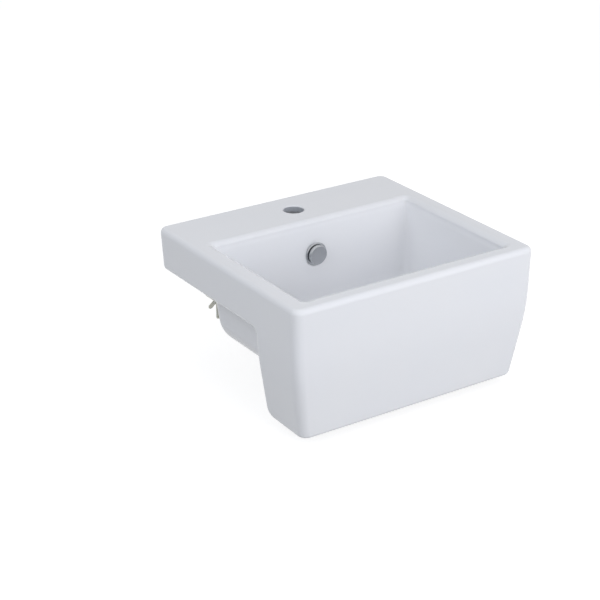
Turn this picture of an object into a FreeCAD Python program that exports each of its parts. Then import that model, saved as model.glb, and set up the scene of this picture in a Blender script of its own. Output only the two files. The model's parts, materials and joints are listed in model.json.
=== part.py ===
import FreeCAD, Part
import math
import os
import Sketcher
from FreeCAD import Placement, Rotation, Vector

# A semi recessed basin. Millimetres, +X to the right, -Y to the front, +Z up.
# The origin is on the seat: the middle of the rear skirt's lower face, which stands on the worktop.

DIMENSIONS = [
    # The casting's outside
    ("rim_width", 455, "across the top of the rim"),
    ("rim_depth", 410, "back to front along the top of the rim"),
    ("rim_rise", 71, "from the worktop to the top of the rim"),
    ("apron_drop", 154, "from the worktop to the apron's lowest edge"),
    ("back_edge", 14, "from the seat's middle to the rim's back edge"),
    ("back_lean", 6, "how far the back face leans in by the seat"),
    ("bend_start", 6, "height where the sides and front begin to tuck in"),
    ("bend_end", -42, "height where the bend ends in a straight slope"),
    ("bend_guess", 480, "about the radius of that bend, which its tangents decide"),
    ("side_lean", 1.6, "how far a side leans in by the bend's start"),
    ("side_foot_tuck", 19, "how far a side is in at the apron's foot"),
    ("front_lean", 0.4, "how far the front leans in by the bend's start"),
    ("front_foot_tuck", 16.2, "how far the front is in at the apron's foot"),
    ("notch_setback", 288.3, "from the back edge to the panel's rear edge"),
    ("panel_setback", 312, "from the back edge to the panel's lower rear corner"),
    ("panel_drop", 140, "from the worktop to that corner"),
    ("skirt_wall", 12, "skirt, apron and panels"),
    ("deck_thickness", 12, "top of the rim and deck"),
    # Roundings
    ("face_round", 8, "upright and lower edges round the apron's face"),
    ("back_corner_round", 12, "upright back corners"),
    ("rim_round", 7.8, "outer edge of the rim"),
    ("bowl_edge_round", 9, "edge between rim and bowl"),
    ("panel_corner_round", 18, "lower rear corner of a panel"),
    ("notch_round", 9, "inside corner of the notch"),
    ("foot_round", 7, "outer edge round the foot of panels and skirt"),
    ("core_round", 6, "upright corners inside the skirt"),
    # The bowl. Setbacks run from the rim's back edge, depths from the rim's top.
    ("bowl_wall", 11, "wall of the bowl"),
    ("lip_depth", -6, "level above the rim, so that the bowl opens"),
    ("lip_back", 110, "back wall at that level"),
    ("lip_front", 378, "front wall"),
    ("lip_half", 193, "half width"),
    ("lip_corner", 9, "corner radius"),
    ("shoulder_depth", 22, "next level down"),
    ("shoulder_back", 120.5, ""),
    ("shoulder_front", 375.6, ""),
    ("shoulder_half", 190.6, ""),
    ("shoulder_corner", 10, ""),
    ("chest_depth", 45, "next level down"),
    ("chest_back", 126, ""),
    ("chest_front", 374.8, ""),
    ("chest_half", 189.8, ""),
    ("chest_corner", 11, ""),
    ("waist_depth", 95, "next level down"),
    ("waist_back", 129, ""),
    ("waist_front", 373, ""),
    ("waist_half", 188, ""),
    ("waist_corner", 14, ""),
    ("floor_depth", 148, "floor, where it meets the walls"),
    ("floor_back", 131, ""),
    ("floor_front", 371.3, ""),
    ("floor_half", 186.3, ""),
    ("floor_corner", 27, ""),
    ("floor_round", 24, "rounding between floor and walls"),
    ("fall_radius", 108, "where the floor's fall to the waste begins"),
    ("fall", 4, "depth of that fall"),
    # Holes
    ("tap_setback", 60, "from the back edge to the tap hole's centre"),
    ("tap_radius", 17.5, "tap hole"),
    ("tap_round", 1.5, "edge of the tap hole"),
    ("waste_setback", 250, "from the back edge to the waste's centre"),
    ("waste_hole_radius", 23, "hole for the waste"),
    ("recess_radius", 33.5, "recess for the waste's flange"),
    ("recess_depth", 3, "depth of that recess"),
    ("boss_radius", 36, "boss round the waste hole"),
    ("boss_drop", 112, "from the worktop level to the boss's lower face"),
    ("overflow_height", 14, "overflow hole's centre above the worktop level"),
    ("overflow_seat_setback", 126.6, "from the back edge to the overflow's flat seat"),
    ("overflow_seat_radius", 20.5, "flat seat"),
    ("overflow_hole_radius", 13, "overflow hole"),
    # Overflow fitting, measured from its flat seat
    ("ring_radius", 20, "flange of the ring"),
    ("ring_thickness", 2.5, "flange"),
    ("ring_edge", 1, "rounding of the flange"),
    ("sleeve_radius", 12.6, "sleeve in the hole"),
    ("sleeve_wall", 2, "wall of the sleeve"),
    ("sleeve_length", 10, "reach of the sleeve"),
    ("oring_section", 0.8, "radius of the O-ring's section"),
    ("oring_depth", 6, "from the seat to the O-ring"),
    ("cover_radius", 17, "disc"),
    ("cover_standoff", 5.5, "from the seat to the disc"),
    ("cover_thickness", 3.5, "disc"),
    ("cover_edge", 1.5, "rounding of the disc"),
    ("leg_thickness", 1.2, "leg of the disc"),
    ("leg_half", 2.5, "half width of a leg"),
    ("leg_reach", 9, "how far a leg goes into the sleeve"),
    ("leg_play", 0.03, "between a leg and the sleeve"),
    # Overflow duct
    ("duct_half", 20, "half width of the duct"),
    ("duct_gap", 12, "depth of the duct"),
    ("duct_wall", 8, "walls round the duct"),
    ("duct_setback", 104, "from the back edge to the duct's rear face"),
    ("duct_top", 31, "top of the duct above the worktop level"),
    ("duct_overlap", 6, "how far the duct's block enters the bowl's wall"),
    ("duct_bend", 3, "radius of the bend where the duct turns forward"),
    ("duct_edge", 2.5, "long edges of the duct"),
    # Anchor bosses under the deck
    ("anchor_half", 150, "from the centre to an anchor"),
    ("anchor_boss_radius", 17, "boss"),
    ("anchor_boss_foot", 36, "height of the boss's lower face"),
    ("anchor_hole_radius", 7, "blind hole in the boss"),
    ("anchor_hole_depth", 20, "its depth"),
    # Waste
    ("flange_radius", 32.5, "waste flange"),
    ("flange_top", -79.5, "top face of the flange"),
    ("flange_seat", -82.5, "lower face of the flange"),
    ("thread_radius", 20.95, "G 1 1/4 thread, over its crests"),
    ("relief_radius", 19.7, "groove that parts the nut's thread from the trap's"),
    ("relief_top", -137, "upper edge of that groove, just below the nut"),
    ("relief_foot", -138.5, "its lower edge, where the trap's thread begins"),
    ("tail_chamfer", 1, "chamfer at the tail's end"),
    ("tail_end", -167, "lower end of the tail"),
    ("tail_bore", 17, "bore of the tail"),
    ("throat", -84.5, "where the funnel meets the bore"),
    ("funnel", 5.5, "how much wider the funnel's mouth is than the bore"),
    ("flange_edge", 1, "rounding of the flange"),
    ("slot_half", 9, "half width of an overflow slot"),
    ("hub_radius", 10.5, "hub of the bridge"),
    ("hub_top", -86, "upper face of the bridge"),
    ("hub_foot", -93, "lower face of the bridge"),
    ("spoke_half", 2, "half width of a spoke"),
    ("gasket_foot", -84, "lower face of the gasket, on the recess"),
    ("gasket_radius", 31, "gasket"),
    ("washer_foot", -122, "lower face of the cone washer"),
    ("friction_foot", -124, "lower face of the friction washer"),
    ("nut_foot", -136, "lower face of the back nut"),
    ("nut_flats", 56, "across the flats of the back nut"),
    ("nut_face_radius", 30, "round face of the back nut"),
    ("nut_face", 2.5, "thickness of that face"),
    ("nut_chamfer", 30, "degrees, the chamfer of the nut's corners"),
    # Click plug
    ("plug_radius", 31, "cap"),
    ("plug_underside", -76.6, "underside of the cap"),
    ("plug_rise", 5.6, "crown of the cap"),
    ("plug_edge", 2.2, "height of the cap's edge"),
    ("dome_radius", 143, "radius of the cap's dome"),
    ("cap_boss", 4, "height of the boss under the cap"),
    ("cap_boss_radius", 6, "boss under the cap"),
    ("stem_top", -80.6, "upper end of the stem, on the boss"),
    ("stem_foot", -92, "lower end of the stem"),
    ("seal_inner", 24.5, "plug seal, inside"),
    ("seal_outer", 28.5, "plug seal, outside"),
    ("seal_foot", -79.2, "lower face of the plug's seal, just off the flange"),
    ("stem_radius", 3, "screwed stem"),
    ("rod_radius", 4, "rod of the plunger"),
    ("head_radius", 5.55, "head of the plunger"),
    ("head_top", -98.5, "upper face of the head, plug shut"),
    ("head_foot", -114, "lower face of the head, plug shut"),
    ("cartridge_radius", 8, "cartridge tube"),
    ("cartridge_bore", 5.6, "bore of the tube"),
    ("cartridge_top", -84, "upper end of the tube"),
    ("cartridge_foot", -130, "lower end of the tube"),
    ("lid_foot", -88, "underside of the tube's lid"),
    ("rod_hole", 4.06, "hole in the lid"),
    ("spring_foot", -126, "where the spring stands"),
    ("spring_wire", 0.9, "spring wire"),
    ("spring_turns", 5, "turns of the spring"),
    ("rod_top", -81.5, "upper end of the plunger's rod, plug shut"),
    ("pin_radius", 0.9, "latch pin"),
    ("pin_height", -101, "height of the pin"),
    ("pin_tip", 4.3, "from the axis to the pin's tip"),
    ("track_half", 1.3, "half width of the plunger's track"),
    ("end_flange", 1.5, "flange of the end cap"),
    # Fixings
    ("stud_radius", 4, "M8 stud"),
    ("stud_top", 52, "upper end of a stud"),
    ("stud_foot", -90, "lower end of a stud"),
    ("worktop_thickness", 40, "worktop that the clamps are set for"),
    ("pad_thickness", 4, "rubber pad"),
    ("sheet", 3, "clamp plate"),
    ("plate_half", 13, "half width of a clamp plate"),
    ("joggle", 6, "step of the clamp plate"),
    ("joggle_start", 18, "from the stud to the step"),
    ("joggle_run", 8, "length of the step"),
    ("plate_nose", 16, "from the stud to the plate's front end"),
    ("plate_heel", 54, "from the stud to the plate's rear end"),
    ("plate_round", 5, "corners of the plate"),
    ("slot_reach", 8, "from the stud to either end of the plate's slot"),
    ("pad_round", 3, "corners of the pad"),
    ("collar", 2, "collar of an anchor plug"),
    ("clamp_washer_radius", 11, "washer"),
    ("clamp_washer_thickness", 2, "washer"),
    ("wing_nut_height", 8, "hub of a wing nut"),
    ("wing_nut_radius", 7.5, "hub at the washer"),
    ("nut_bore", 4.05, "thread of a wing nut, over the stud"),
    ("wing_span", 18, "reach of a wing"),
    ("wing_thickness", 2.5, "wing"),
    ("wing_round", 5, "end of a wing"),
]

document = FreeCAD.newDocument("SemiRecessedBasin")
sheet = document.addObject("Spreadsheet::Sheet", "Dimensions")
for row, (alias, number, meaning) in enumerate(DIMENSIONS, start=1):
    sheet.set(f"A{row}", alias)
    sheet.set(f"B{row}", str(number))
    sheet.set(f"C{row}", meaning)
    sheet.setAlias(f"B{row}", alias)
document.recompute()

D = "Dimensions."
BACK = D + "back_edge"
TOP = D + "rim_rise"
WASTE_Y = f"{BACK} - {D}waste_setback"
TAP_Y = f"{BACK} - {D}tap_setback"


def size_of(expression):
    """The number that an expression in the sheet's names comes to."""
    return float(sheet.evalExpression(expression))


# Sketches and features, each bound to the sheet


def origin_plane(body, role):
    return next(item for item in body.Origin.OriginFeatures if item.Role == role)


def new_body(label):
    body = document.addObject("PartDesign::Body", label)
    body.Label = label
    return body


def new_sketch(body, name, role, offset=None):
    sketch = body.newObject("Sketcher::SketchObject", name)
    sketch.AttachmentSupport = [(origin_plane(body, role), "")]
    sketch.MapMode = "FlatFace"
    if offset is not None:
        sketch.setExpression("AttachmentOffset.Base.z", offset)
    return sketch


def bind(sketch, kind, geometry, point, expression):
    """Ties one coordinate of a point to the sheet."""
    made = sketch.addConstraint(Sketcher.Constraint(kind, -1, 1, geometry, point, size_of(expression)))
    sketch.setExpression(f"Constraints[{made}]", expression)


def edge_between(start, end, arc):
    """A straight edge, or an arc that bulges to the left (+1) or right (-1) of its run."""
    if arc is None:
        return Part.LineSegment(start, end)
    radius, side = size_of(arc[0]), arc[1]
    chord = end - start
    rise = radius - math.sqrt(radius**2 - (chord.Length / 2) ** 2)
    across = Vector(-chord.y, chord.x, 0).normalize() * side
    middle = (start + end) / 2 + across * rise
    if side > 0:
        start, end = end, start
    return Part.Arc(start, middle, end)


def outline(sketch, corners):
    """Draws a closed outline. A corner is (u, v), or (u, v, (radius, side)) where an arc follows it.

    Where an arc says "bend" after its side, it meets the edges beside it tangentially: its radius and
    the u of its lower end, marked "loose", then come from the tangents and start as guesses.
    """
    places = [Vector(size_of(corner[0]), size_of(corner[1]), 0) for corner in corners]
    arcs = [corner[2] if len(corner) > 2 and corner[2] != "loose" else None for corner in corners]
    ends = []
    for index, start in enumerate(places):
        end = places[(index + 1) % len(places)]
        made = sketch.addGeometry(edge_between(start, end, arcs[index]), False)
        first_is_start = (sketch.Geometry[made].StartPoint - start).Length < 1e-6
        ends.append((made, 1 if first_is_start else 2, 2 if first_is_start else 1))
    for index, corner in enumerate(corners):
        geometry, first, _ = ends[index]
        before, _, last = ends[index - 1]
        arc, arc_before = arcs[index], arcs[index - 1]
        bends = [one for one in (arc, arc_before) if one is not None and len(one) > 2]
        joint = "Tangent" if bends else "Coincident"
        sketch.addConstraint(Sketcher.Constraint(joint, before, last, geometry, first))
        if corner[-1] != "loose":
            bind(sketch, "DistanceX", geometry, first, corner[0])
        bind(sketch, "DistanceY", geometry, first, corner[1])
        if arc is not None and not bends:
            made = sketch.addConstraint(Sketcher.Constraint("Radius", geometry, size_of(arc[0])))
            sketch.setExpression(f"Constraints[{made}]", arc[0])


def circle(sketch, radius, u="0", v="0"):
    centre = Vector(size_of(u), size_of(v), 0)
    made = sketch.addGeometry(Part.Circle(centre, Vector(0, 0, 1), size_of(radius)), False)
    bind(sketch, "DistanceX", made, 3, u)
    bind(sketch, "DistanceY", made, 3, v)
    fixed = sketch.addConstraint(Sketcher.Constraint("Radius", made, size_of(radius)))
    sketch.setExpression(f"Constraints[{fixed}]", radius)


def rounded_rectangle(sketch, half, low, high, radius):
    """A rectangle from u = -half to half and v = low to high, with round corners."""
    left, right = f"-({half})", half
    turn = (radius, -1)
    outline(sketch, [
        (f"{left} + {radius}", low),
        (f"{right} - {radius}", low, turn),
        (right, f"{low} + {radius}"),
        (right, f"{high} - {radius}", turn),
        (f"{right} - {radius}", high),
        (f"{left} + {radius}", high, turn),
        (left, f"{high} - {radius}"),
        (left, f"{low} + {radius}", turn),
    ])


def rectangle(sketch, low_u, high_u, low_v, high_v):
    outline(sketch, [(low_u, low_v), (high_u, low_v), (high_u, high_v), (low_u, high_v)])


def pad(body, name, profile, length, midplane=False, downward=False):
    feature = body.newObject("PartDesign::Pad", name)
    feature.Profile = profile
    feature.setExpression("Length", length)
    feature.Midplane = midplane
    feature.Reversed = downward
    document.recompute()
    return feature


def pocket(body, name, profile, length=None, midplane=False, upward=False):
    """Cuts a sketch into the body and checks that something was removed."""
    before = body.Shape.Volume
    feature = body.newObject("PartDesign::Pocket", name)
    feature.Profile = profile
    if length is None:
        feature.Type = "ThroughAll"
    else:
        feature.setExpression("Length", length)
    feature.Midplane = midplane
    feature.Reversed = upward
    document.recompute()
    assert feature.Shape.Volume < before - 1e-3, f"{name} cuts nothing"
    return feature


def revolve(body, name, corners, cut=False):
    """Turns an outline of (radius, height) about the body's Z axis, adding or cutting."""
    sketch = new_sketch(body, name + "_profile", "XZ_Plane")
    outline(sketch, corners)
    kind = "PartDesign::Groove" if cut else "PartDesign::Revolution"
    feature = body.newObject(kind, name)
    feature.Profile = sketch
    feature.ReferenceAxis = (sketch, ["V_Axis"])
    feature.Angle = 360
    document.recompute()
    return feature


def around(body, feature, count):
    """Repeats a feature round the body's Z axis."""
    pattern = body.newObject("PartDesign::PolarPattern", feature.Name + "_around")
    pattern.Originals = [feature]
    pattern.Axis = (origin_plane(body, "Z_Axis"), [""])
    pattern.Angle = 360
    pattern.Occurrences = count
    body.Tip = pattern
    document.recompute()
    return pattern


def fillet(body, base, name, radius, wanted):
    """Rounds the edges of the last feature that a test picks."""
    names = [f"Edge{i}" for i, edge in enumerate(base.Shape.Edges, start=1) if wanted(edge)]
    assert names, f"{name} finds no edges"
    feature = body.newObject("PartDesign::Fillet", name)
    feature.Base = (base, names)
    feature.setExpression("Radius", radius)
    document.recompute()
    assert feature.isValid() and feature.Shape.isValid(), f"{name} fails"
    return feature


def place(thing, x="0", y="0", z="0"):
    for axis, expression in zip("xyz", (x, y, z)):
        if expression != "0":
            thing.setExpression(f"Placement.Base.{axis}", expression)


def cylinder(label, radius, foot, top, x="0", y="0"):
    rod = document.addObject("Part::Cylinder", label)
    rod.setExpression("Radius", radius)
    rod.setExpression("Height", f"({top}) - ({foot})")
    place(rod, x, y, foot)
    return rod


def fuse(label, pieces):
    made = document.addObject("Part::MultiFuse", label)
    made.Shapes = pieces
    document.recompute()
    return made


def cut(label, base, tool):
    made = document.addObject("Part::Cut", label)
    made.Base = base
    made.Tool = tool
    document.recompute()
    assert made.Shape.Volume < 0.99 * base.Shape.Volume, f"{label} cuts nothing"
    return made


# Tests that pick edges for rounding


def ends_of(edge):
    return [vertex.Point for vertex in edge.Vertexes]


def runs_along(edge, axis):
    """True where an edge's ends differ mostly along one axis."""
    if len(edge.Vertexes) < 2:
        return False
    start, end = ends_of(edge)
    run = [abs(start[i] - end[i]) for i in range(3)]
    return run[axis] > 4 * max(run[i] for i in range(3) if i != axis)


def lies_at(edge, axis, value, slack=0.05):
    return all(abs(point[axis] - value) < slack for point in ends_of(edge))


X, Y, Z = 0, 1, 2


# The casting


def apron_form(label, inset, top, notched):
    """The outside of the casting, or with an inset the hollow that the core leaves under it."""
    body = new_body(label)
    front = f"{BACK} - {D}rim_depth + {inset}"
    back = f"{BACK} - {inset}"
    foot = f"-{D}apron_drop" if notched else f"-{D}apron_drop - 1"
    lower_back = [(f"{back} - {D}back_lean * (1 - ({foot}) / ({top}))", foot)]
    if notched:
        lower_back = [
            (f"{BACK} - {D}panel_setback", f"-{D}panel_drop"),
            (f"{BACK} - {D}notch_setback", "0"),
            (f"{back} - {D}back_lean", "0"),
        ]
    start, end = D + "bend_start", D + "bend_end"
    guess = D + "bend_guess"
    side_view = new_sketch(body, label + "_side_view", "YZ_Plane")
    outline(side_view, [
        (front, top),
        (f"{front} + {D}front_lean", start, (guess, -1, "bend")),
        (f"{front} + {D}front_foot_tuck / 4", end, "loose"),
        (f"{front} + {D}front_foot_tuck", foot),
        *lower_back,
        (back, top),
    ])
    pad(body, label + "_pad", side_view, f"{D}rim_width + 40", midplane=True)

    half = f"{D}rim_width / 2 - {inset}"
    beyond = f"{D}rim_width / 2 + 30"
    front_view = new_sketch(body, label + "_front_view", "XZ_Plane")
    for side in (1, -1):
        outline(front_view, [
            (f"{side} * ({half})", f"{top} + 10"),
            (f"{side} * ({half})", top),
            (f"{side} * ({half} - {D}side_lean)", start, (guess, side, "bend")),
            (f"{side} * ({half} - {D}side_foot_tuck / 4)", end, "loose"),
            (f"{side} * ({half} - {D}side_foot_tuck)", foot),
            (f"{side} * ({half} - {D}side_foot_tuck)", f"{foot} - 10"),
            (f"{side} * ({beyond})", f"{foot} - 10"),
            (f"{side} * ({beyond})", f"{top} + 10"),
        ])
    pocket(body, label + "_sides", front_view, midplane=True)
    return body


def is_hollow_corner(edge):
    """The upright corners of the hollow."""
    if len(edge.Vertexes) < 2 or runs_along(edge, X) or runs_along(edge, Y):
        return False
    near_front = size_of(f"{BACK} - {D}rim_depth") + 40
    return all(abs(point.x) > 150 and (point.y < near_front or point.y > -30) for point in ends_of(edge))


def is_foot_edge(edge):
    """The lower edge of a side panel. The chain that it starts runs on round the skirt's foot."""
    low = all(point.z < -size_of(D + "apron_drop") + 20 for point in ends_of(edge))
    return low and runs_along(edge, Y) and all(abs(point.x) > 150 for point in ends_of(edge))


def is_face_edge(edge):
    """The upright and lower edges round the apron's face."""
    bounds = edge.BoundBox
    at_face = bounds.YMax < size_of(f"{BACK} - {D}rim_depth") + 26 and bounds.YLength < 18
    outer = bounds.XMin > 150 or bounds.XMax < -150 or bounds.ZMax < -130
    return at_face and outer and bounds.ZMin < size_of(TOP) - 0.1 and not is_foot_edge(edge)


def is_back_corner(edge):
    """The upright edges between the sides and the back."""
    if len(edge.Vertexes) < 2 or runs_along(edge, X) or runs_along(edge, Y):
        return False
    return all(abs(point.x) > 150 and point.y > -20 for point in ends_of(edge))


def outside_form():
    body = apron_form("outside_form", "0", TOP, notched=True)
    notch_y = size_of(f"{BACK} - {D}notch_setback")
    panel_y, panel_z = size_of(f"{BACK} - {D}panel_setback"), -size_of(D + "panel_drop")
    step = fillet(body, body.Tip, "panel_corner", D + "panel_corner_round",
                  lambda e: lies_at(e, Y, panel_y) and lies_at(e, Z, panel_z))
    step = fillet(body, step, "notch_corner", D + "notch_round",
                  lambda e: lies_at(e, Y, notch_y) and lies_at(e, Z, 0))
    step = fillet(body, step, "back_corners", D + "back_corner_round", is_back_corner)
    step = fillet(body, step, "foot_edges", D + "foot_round", is_foot_edge)
    step = fillet(body, step, "face_edges", D + "face_round", is_face_edge)
    fillet(body, step, "rim_edge", D + "rim_round", lambda e: lies_at(e, Z, size_of(TOP)))
    return body


def hollow_form():
    """What the plaster core takes out under the rim, open below."""
    body = apron_form("hollow_form", D + "skirt_wall", f"{TOP} - {D}deck_thickness", notched=False)
    fillet(body, body.Tip, "hollow_corners", D + "core_round", is_hollow_corner)
    return body


LEVELS = ("lip", "shoulder", "chest", "waist", "floor")


def bowl_form(label, wall, levels, top_sink="0"):
    """A loft through rounded rectangles: the bowl's inside, or with a wall its outside."""
    body = new_body(label)
    sketches = []
    for level in levels:
        height = f"{TOP} - {D}{level}_depth"
        if level == levels[0]:
            height += f" - {top_sink}"
        if level == levels[-1]:
            height += f" - {wall}"
        sketch = new_sketch(body, f"{label}_{level}", "XY_Plane", height)
        rounded_rectangle(
            sketch,
            f"{D}{level}_half + {wall}",
            f"{BACK} - {D}{level}_front - {wall}",
            f"{BACK} - {D}{level}_back + {wall}",
            f"({D}{level}_corner + {wall})",
        )
        sketches.append(sketch)
    loft = body.newObject("PartDesign::AdditiveLoft", label + "_loft")
    loft.Profile = sketches[0]
    loft.Sections = sketches[1:]
    loft.Ruled = False
    document.recompute()
    floor_z = size_of(f"{TOP} - {D}floor_depth - {wall}")
    fillet(body, loft, label + "_floor_round", f"{D}floor_round + {wall}",
           lambda e: lies_at(e, Z, floor_z))
    return body


def duct_form(label, margin, inner):
    """The overflow's way down behind the bowl and forward under its floor, or the wall round it."""
    rear = f"{BACK} - {D}duct_setback + {margin}"
    front = f"{BACK} - {D}duct_setback - {D}duct_gap - {inner}"
    foot = f"{D}duct_wall - {D}boss_drop - {margin}"
    ceiling = f"{D}duct_wall - {D}boss_drop + {D}duct_gap + {inner}"
    top = f"{D}duct_top + {margin}"
    bend = f"({D}duct_bend + {margin})"
    body = new_body(label)
    side_view = new_sketch(body, label + "_side_view", "YZ_Plane")
    outline(side_view, [
        (WASTE_Y, foot),
        (f"{rear} - {bend}", foot, (bend, -1)),
        (rear, f"{foot} + {bend}"),
        (rear, top),
        (front, top),
        (front, ceiling),
        (WASTE_Y, ceiling),
    ])
    half = f"({D}duct_half + {margin})"
    bar = pad(body, label + "_bar", side_view, f"2 * {half}", midplane=True)
    side, rear_y = size_of(half), size_of(rear)
    bend_top = size_of(f"{foot} + {bend}") + 0.1

    def on_the_back(edge):
        """Edges where the two sides meet the foot, the bend and the back."""
        at_a_side = lies_at(edge, X, side) or lies_at(edge, X, -side)
        low_or_rear = edge.BoundBox.ZMax < bend_top or lies_at(edge, Y, rear_y)
        return at_a_side and low_or_rear and not lies_at(edge, Y, size_of(WASTE_Y))

    fillet(body, bar, label + "_edges", f"({D}duct_edge + {margin} / 2)", on_the_back)
    return body


def anchor_spots(label, radius, foot, top):
    return [cylinder(f"{label}_{name}", radius, foot, top, f"{sign} * {D}anchor_half", TAP_Y)
            for name, sign in (("left", -1), ("right", 1))]


def basin_blank():
    """Everything in the casting but the roundings that come after the bowl is cut."""
    skin = cut("skin", outside_form(), hollow_form())

    wall = D + "bowl_wall"
    shell_top = f"({D}deck_thickness / 2 - {D}shoulder_depth)"
    shell = bowl_form("bowl_shell", wall, LEVELS[1:], top_sink=shell_top)
    boss = cylinder("waste_boss", D + "boss_radius", f"-{D}boss_drop", f"{TOP} - {D}floor_depth - 6",
                    y=WASTE_Y)
    duct_block = duct_form("duct_block", D + "duct_wall", D + "duct_overlap")
    anchors = anchor_spots("anchor_boss", D + "anchor_boss_radius", D + "anchor_boss_foot",
                           f"{TOP} - {D}deck_thickness / 2")
    raw = fuse("raw_casting", [skin, shell, boss, duct_block, *anchors])

    bowl = bowl_form("bowl_void", "0", LEVELS)
    floor = f"{TOP} - {D}floor_depth"
    fall = document.addObject("Part::Cone", "floor_fall")
    fall.setExpression("Radius1", D + "recess_radius")
    fall.setExpression("Radius2", D + "fall_radius")
    fall.setExpression("Height", D + "fall")
    place(fall, y=WASTE_Y, z=f"{floor} - {D}fall")
    recess = cylinder("flange_recess", D + "recess_radius", f"{floor} - {D}fall - {D}recess_depth",
                      f"{floor} + 1", y=WASTE_Y)
    hole = cylinder("waste_hole", D + "waste_hole_radius", f"-{D}boss_drop - 5", floor, y=WASTE_Y)
    seat = cylinder("overflow_seat", D + "overflow_seat_radius", "0", "10")
    bore = cylinder("overflow_bore", D + "overflow_hole_radius", "0", "30")
    for tool, start in ((seat, f"{BACK} - {D}overflow_seat_setback"),
                        (bore, f"{BACK} - {D}duct_setback - {D}duct_gap / 2")):
        tool.Placement = Placement(Vector(), Rotation(Vector(1, 0, 0), 90))
        place(tool, "0", start, D + "overflow_height")
    blind_holes = anchor_spots("anchor_hole", D + "anchor_hole_radius", f"{D}anchor_boss_foot - 1",
                               f"{D}anchor_boss_foot + {D}anchor_hole_depth")
    duct = duct_form("duct", "0", "0")
    voids = fuse("voids", [bowl, fall, recess, hole, seat, bore, duct, *blind_holes])
    return cut("basin_blank", raw, voids)


def basin_body():
    """One fired casting: rim, deck, skirt, apron with side panels, bowl, duct and bosses."""
    blank = basin_blank()
    body = new_body("basin_body")
    body.BaseFeature = blank
    document.recompute()
    deck = new_sketch(body, "tap_hole_circle", "XY_Plane", TOP)
    circle(deck, D + "tap_radius", v=TAP_Y)
    tap = pocket(body, "tap_hole", deck, f"{D}deck_thickness + 3")
    top_z, tap_y, tap_r = size_of(TOP), size_of(TAP_Y), size_of(D + "tap_radius")

    def round_the_hole(edge):
        return (lies_at(edge, Z, top_z) and abs(edge.Length - 2 * math.pi * tap_r) < 0.1)

    def round_the_bowl(edge):
        inside = all(abs(p.x) < 200 and p.y < -90 and p.y > -370 for p in ends_of(edge))
        return lies_at(edge, Z, top_z) and inside and not round_the_hole(edge)

    step = fillet(body, tap, "tap_hole_edge", D + "tap_round", round_the_hole)
    fillet(body, step, "bowl_edge", D + "bowl_edge_round", round_the_bowl)
    return body


# Overflow fitting. Its bodies stand on the flat seat with their own Z out of the wall, to the front.


def facing_front(body):
    """Turns a body's Z to the front and sets it on the overflow's seat."""
    body.Placement = Placement(Vector(), Rotation(Vector(1, 0, 0), 90))
    place(body, "0", f"{BACK} - {D}overflow_seat_setback", D + "overflow_height")
    return body


def overflow_ring():
    """Flange on the wall and a sleeve into the duct, with a groove for the O-ring."""
    body = facing_front(new_body("overflow_ring"))
    outer, inner = D + "sleeve_radius", f"{D}sleeve_radius - {D}sleeve_wall"
    groove = f"{D}overflow_hole_radius - 2 * {D}oring_section"
    low, high = f"-{D}oring_depth - {D}oring_section", f"-{D}oring_depth + {D}oring_section"
    revolve(body, "ring", [
        (inner, f"-{D}sleeve_length"),
        (outer, f"-{D}sleeve_length"),
        (outer, low),
        (groove, low),
        (groove, high),
        (outer, high),
        (outer, "0"),
        (D + "ring_radius", "0"),
        (D + "ring_radius", f"{D}ring_thickness - {D}ring_edge", (D + "ring_edge", 1)),
        (f"{D}ring_radius - {D}ring_edge", D + "ring_thickness"),
        (inner, D + "ring_thickness"),
    ])
    return body


def overflow_seal():
    """O-ring between sleeve and ceramic."""
    body = facing_front(new_body("overflow_seal"))
    sketch = new_sketch(body, "oring_section_circle", "XZ_Plane")
    circle(sketch, D + "oring_section", f"{D}overflow_hole_radius - {D}oring_section", f"-{D}oring_depth")
    ring = body.newObject("PartDesign::Revolution", "oring")
    ring.Profile = sketch
    ring.ReferenceAxis = (sketch, ["V_Axis"])
    ring.Angle = 360
    document.recompute()
    return body


def overflow_cover():
    """Disc that stands off the ring, on three legs that spring into the sleeve."""
    body = facing_front(new_body("overflow_cover"))
    top = f"{D}cover_standoff + {D}cover_thickness"
    revolve(body, "disc", [
        ("0", D + "cover_standoff"),
        (D + "cover_radius", D + "cover_standoff"),
        (D + "cover_radius", f"{top} - {D}cover_edge", (D + "cover_edge", 1)),
        (f"{D}cover_radius - {D}cover_edge", top),
        ("0", top),
    ])
    outside = f"sqrt(({D}sleeve_radius - {D}sleeve_wall)^2 - {D}leg_half^2) - {D}leg_play"
    section = new_sketch(body, "leg_section", "XY_Plane", f"-{D}leg_reach")
    rectangle(section, f"{outside} - {D}leg_thickness", outside, f"-{D}leg_half", D + "leg_half")
    leg = pad(body, "leg", section, f"{D}leg_reach + {D}cover_standoff + 0.5")
    around(body, leg, 3)
    return body


# Waste. Its bodies stand on the waste's axis.


def on_waste_axis(body):
    place(body, y=WASTE_Y)
    return body


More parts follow.
